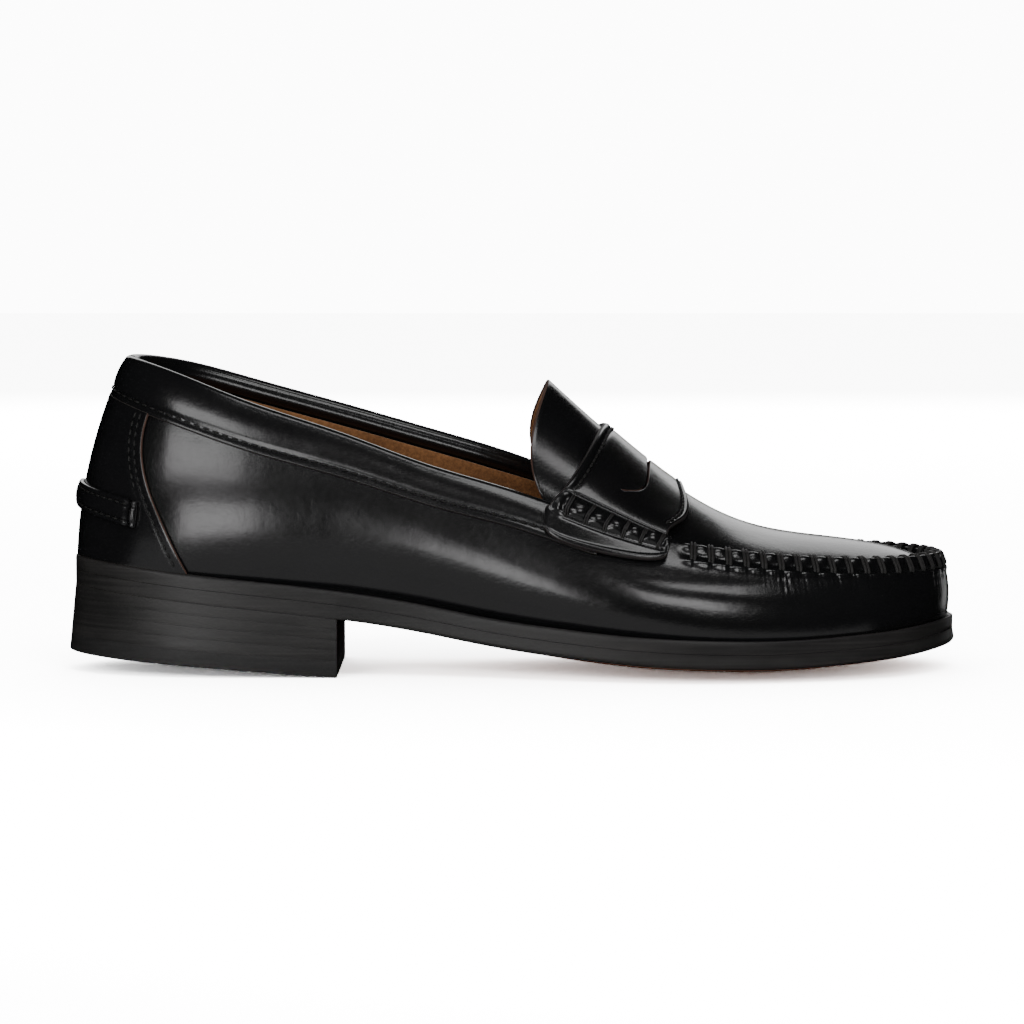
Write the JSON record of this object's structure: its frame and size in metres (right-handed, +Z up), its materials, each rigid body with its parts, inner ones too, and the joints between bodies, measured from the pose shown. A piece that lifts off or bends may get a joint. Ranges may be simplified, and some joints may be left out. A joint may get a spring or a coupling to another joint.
{
  "type": "penny loafer",
  "caption": "Right-foot slip-on moccasin shoe with a slotted saddle strap, whip-stitched apron, leather sole and stacked heel.",
  "frame": {"origin": "centre of the bounding box at the level on which the shoe stands", "axes": "+X towards the toe, +Y towards the inner (medial) side of the foot, +Z up"},
  "size_m": [0.3, 0.103, 0.1059],
  "materials": {
    "upper_leather": "deep black box calf, polished to a high gloss, fine grain wrinkles",
    "lining_leather": "brown suede-like lining leather, matt",
    "sole_leather": "oak-bark outsole leather, natural red-brown, edge stained black",
    "edge_black": "stacked sole leather, edge stained and waxed black, fine striations",
    "board": "cellulose and leather fibre board, matt",
    "cork": "ground cork and wax filler",
    "steel": "blued spring steel and bright nails",
    "rubber": "black vulcanised rubber, satin",
    "thread_black": "black waxed linen thread"
  },
  "bodies": {
    "root": {"side_wall": "upper_leather", "apron": "upper_leather", "tongue_lining": "lining_leather", "vamp_lining": "lining_leather", "quarter_lining": "lining_leather", "heel_counter": "board", "toe_puff": "board", "collar_band": "upper_leather", "heel_foxing": "upper_leather", "heel_tab": "upper_leather", "penny_strap": "upper_leather", "moc_seam_thread": "thread_black", "strap_thread_outer": "thread_black", "strap_thread_inner": "thread_black", "insole_board": "board", "sock_lining": "lining_leather", "heel_pad": "lining_leather", "cork_filler": "cork", "steel_shank": "steel", "midsole": "edge_black", "outsole": "sole_leather", "heel_lift_1": "edge_black", "heel_lift_2": "edge_black", "heel_lift_3": "edge_black", "heel_lift_4": "edge_black", "top_lift": "rubber", "heel_nail_1": "steel", "heel_nail_2": "steel", "heel_nail_3": "steel", "heel_nail_4": "steel", "heel_nail_5": "steel"}
  },
  "joints": []
}
